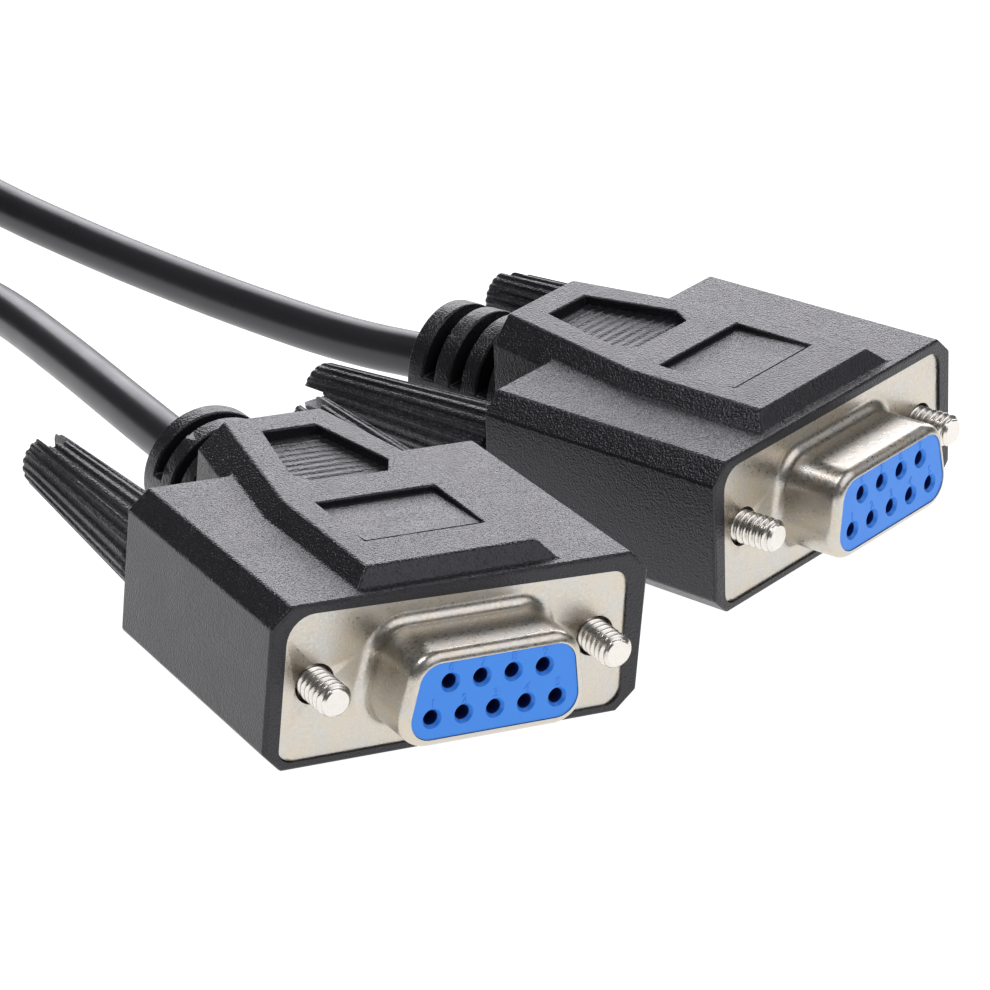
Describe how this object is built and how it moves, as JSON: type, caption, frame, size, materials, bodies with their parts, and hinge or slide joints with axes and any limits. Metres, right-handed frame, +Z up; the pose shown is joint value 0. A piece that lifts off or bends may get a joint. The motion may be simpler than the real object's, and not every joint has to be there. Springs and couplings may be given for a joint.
{
  "type": "null modem cable",
  "caption": "Serial crossover lead: a round cable joins two moulded D-shaped socket plugs with blue faces and captive ribbed thumbscrews, its spare length in a flat coil.",
  "frame": {"origin": "centre of plug A's screw pair, on the front face of its metal flange", "axes": "+X to the right along the screw pair seen from the front, +Y back along the plug towards its cable, +Z up"},
  "size_m": [0.1037, 0.1851, 0.0192],
  "materials": {
    "hood_vinyl": "fine pebble grain, soft sheen",
    "nickel_shell": "satin nickel plate",
    "blue_insulator": "moulded, half gloss",
    "gilt_contacts": "thin gilt plate",
    "core_insulation": "smooth",
    "premould": "dull, as moulded",
    "screw_steel": "nickel plate",
    "grip_plastic": "satin",
    "cable_jacket": "smooth satin"
  },
  "bodies": {
    "root": {"plug_a_hood": "hood_vinyl", "plug_a_front_shell": "nickel_shell", "plug_a_rear_shell": "nickel_shell", "plug_a_front_insulator": "blue_insulator", "plug_a_rear_insulator": "blue_insulator", "plug_a_contacts": "gilt_contacts", "plug_a_cores": "core_insulation", "plug_a_inner_premould": "premould", "plug_b_hood": "hood_vinyl", "plug_b_front_shell": "nickel_shell", "plug_b_rear_shell": "nickel_shell", "plug_b_front_insulator": "blue_insulator", "plug_b_rear_insulator": "blue_insulator", "plug_b_contacts": "gilt_contacts", "plug_b_cores": "core_insulation", "plug_b_inner_premould": "premould", "cable_lead_a": "cable_jacket", "cable_lead_b": "cable_jacket", "cable_coil": "cable_jacket"},
    "thumbscrew_a_left": {"plug_a_jackscrew_left": "screw_steel", "plug_a_grip_left": "grip_plastic"},
    "thumbscrew_a_right": {"plug_a_jackscrew_right": "screw_steel", "plug_a_grip_right": "grip_plastic"},
    "thumbscrew_b_left": {"plug_b_jackscrew_left": "screw_steel", "plug_b_grip_left": "grip_plastic"},
    "thumbscrew_b_right": {"plug_b_jackscrew_right": "screw_steel", "plug_b_grip_right": "grip_plastic"}
  },
  "joints": [
    {"name": "screw_a_left_turn", "type": "hinge", "parent": "root", "child": "thumbscrew_a_left", "pos_m": [-0.01249, 0, 0], "axis": [0, -1, 0], "continuous": true},
    {"name": "screw_a_right_turn", "type": "hinge", "parent": "root", "child": "thumbscrew_a_right", "pos_m": [0.01249, 0, 0], "axis": [0, -1, 0], "continuous": true},
    {"name": "screw_b_left_turn", "type": "hinge", "parent": "root", "child": "thumbscrew_b_left", "pos_m": [0.03495, 0.01321, 0.00063], "axis": [0.3394, -0.9393, 0.0511], "continuous": true},
    {"name": "screw_b_right_turn", "type": "hinge", "parent": "root", "child": "thumbscrew_b_right", "pos_m": [0.05825, 0.02179, 0.00346], "axis": [0.3394, -0.9393, 0.0511], "continuous": true}
  ]
}
